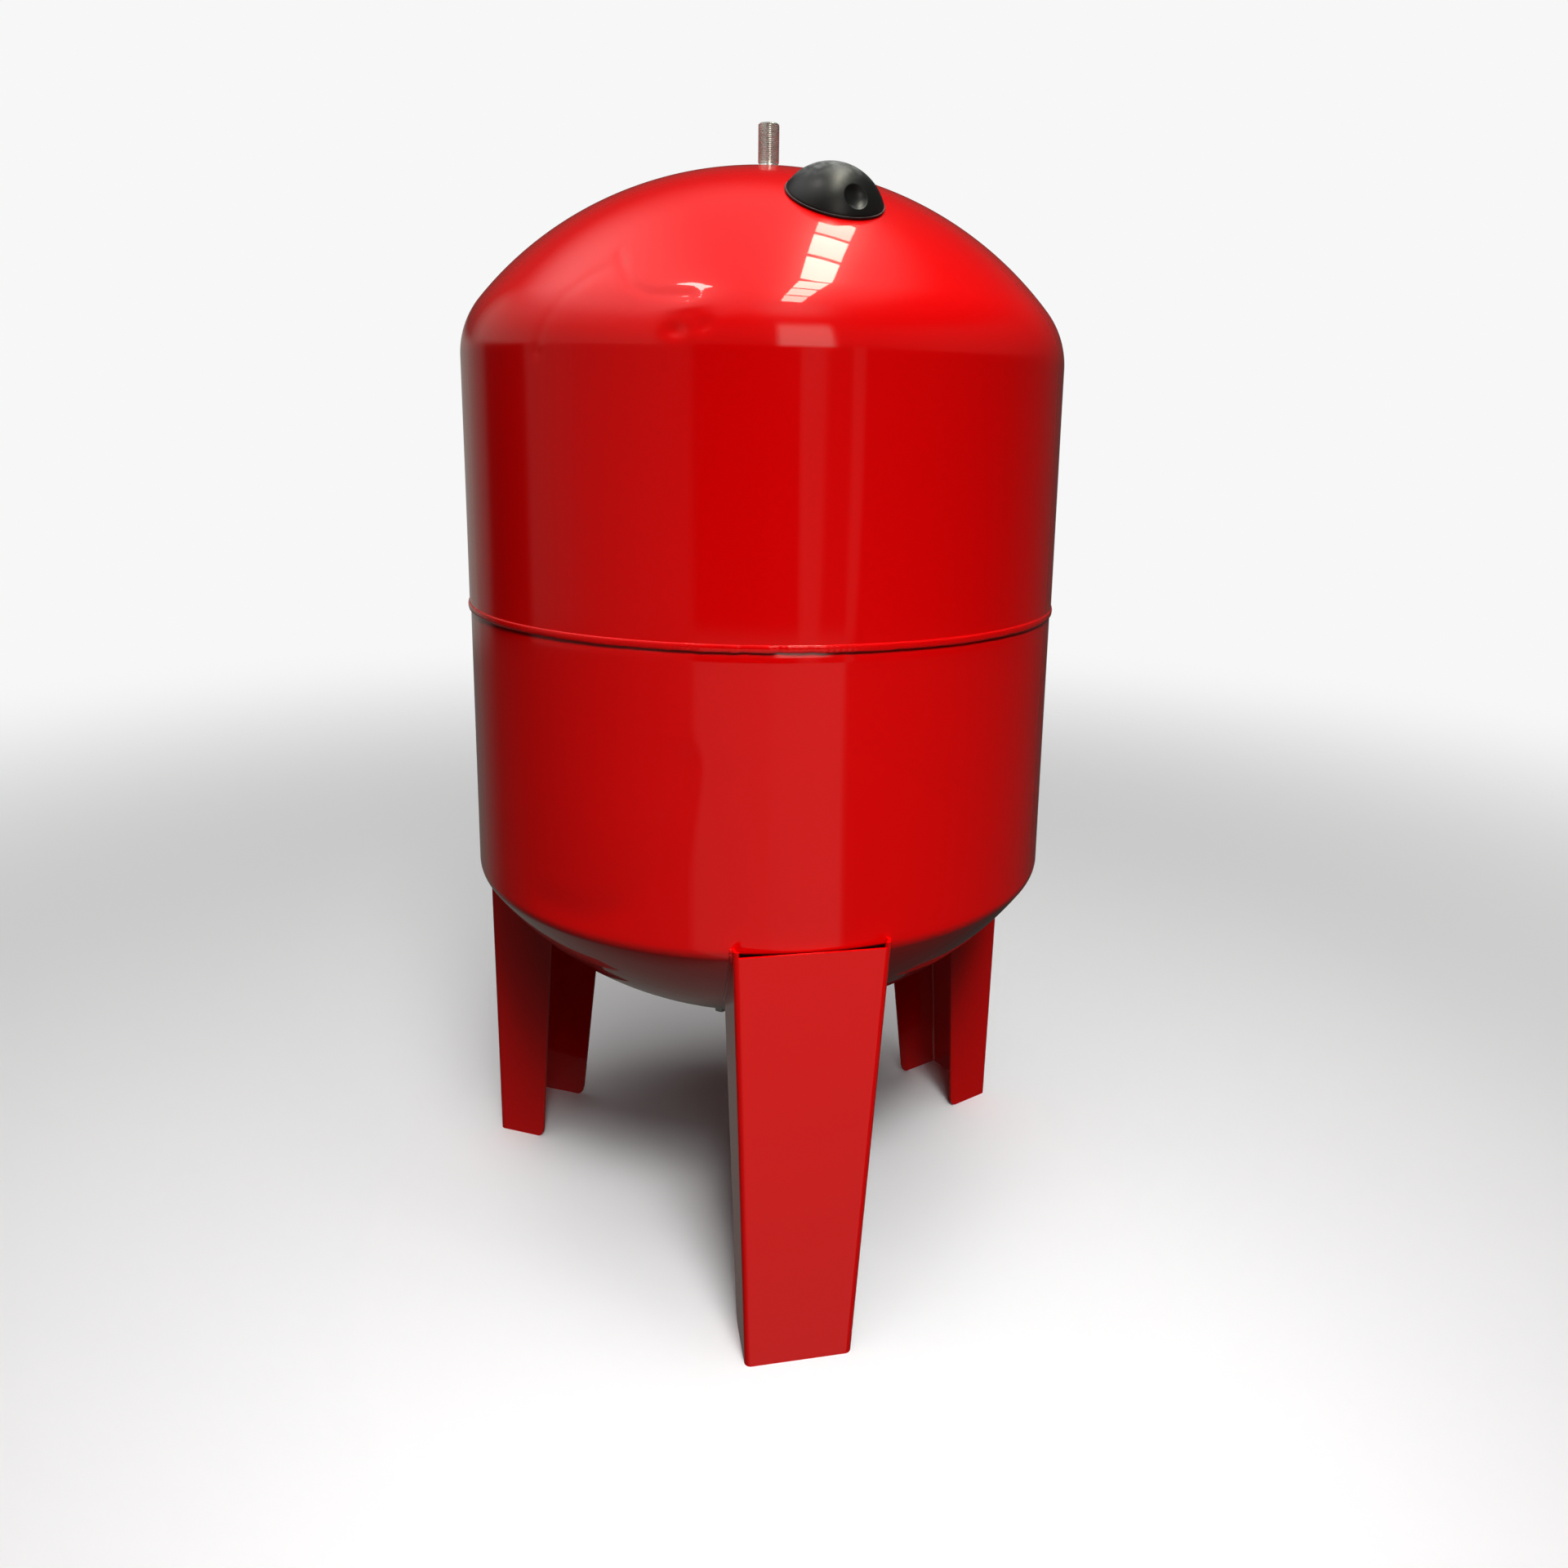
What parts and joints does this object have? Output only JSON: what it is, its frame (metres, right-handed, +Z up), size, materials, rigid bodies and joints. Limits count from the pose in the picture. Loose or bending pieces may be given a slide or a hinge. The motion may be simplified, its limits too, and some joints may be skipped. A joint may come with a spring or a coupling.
{
  "type": "expansion vessel",
  "caption": "Floor-standing vertical expansion vessel with dished shells, folded channel legs, rubber bladder, top nipple, bolted counterflange and covered gas charging valve.",
  "frame": {"origin": "on the floor, on the axis of the two shells", "axes": "+Z up along the shells' axis, the front leg stands on -Y"},
  "size_m": [0.6086, 0.6156, 1.1307],
  "materials": {
    "red_paint": "gloss",
    "nickel_steel": "bright machined",
    "zinc_steel": "zinc plated",
    "spring_steel": "bright wire",
    "brass": "machined",
    "black_plastic": "fine moulded grain",
    "bladder_rubber": "matte"
  },
  "bodies": {
    "vessel": {"upper_shell": "red_paint", "lower_shell": "red_paint", "girth_weld": "red_paint", "leg_front": "red_paint", "leg_right": "red_paint", "leg_left": "red_paint", "top_nipple": "nickel_steel", "top_nipple_weld": "red_paint", "bladder": "bladder_rubber", "bladder_neck_washer": "zinc_steel", "bladder_neck_nut": "zinc_steel", "neck_flange": "red_paint", "counterflange": "zinc_steel", "water_nipple": "zinc_steel", "water_nipple_weld": "zinc_steel", "flange_bolts": "zinc_steel", "flange_washers": "zinc_steel", "flange_nuts": "zinc_steel", "valve_socket": "zinc_steel", "valve_stem": "brass", "valve_core": "brass", "valve_spring": "spring_steel", "cover_ring": "black_plastic"},
    "valve_pin_body": {"valve_pin": "brass", "valve_seal": "bladder_rubber"},
    "dust_cap_body": {"dust_cap": "black_plastic", "cap_seal": "bladder_rubber"},
    "cover_body": {"valve_cover": "black_plastic"}
  },
  "joints": [
    {"name": "pin_press", "type": "slide", "parent": "vessel", "child": "valve_pin_body", "axis": [-0.0828, 0.5114, -0.8554], "range_m": [0, 0.0015], "stiffness_N_per_m": 600, "springref_m": -0.0015, "deforming": ["valve_spring"]},
    {"name": "cap_turn", "type": "hinge", "parent": "vessel", "child": "dust_cap_body", "pos_m": [0.03074, -0.18982, 1.04205], "axis": [0.0828, -0.5114, 0.8554], "range_deg": [0, 1080]},
    {"name": "cover_lift", "type": "slide", "parent": "vessel", "child": "cover_body", "axis": [0.0828, -0.5114, 0.8554], "range_m": [0, 0.08]}
  ]
}
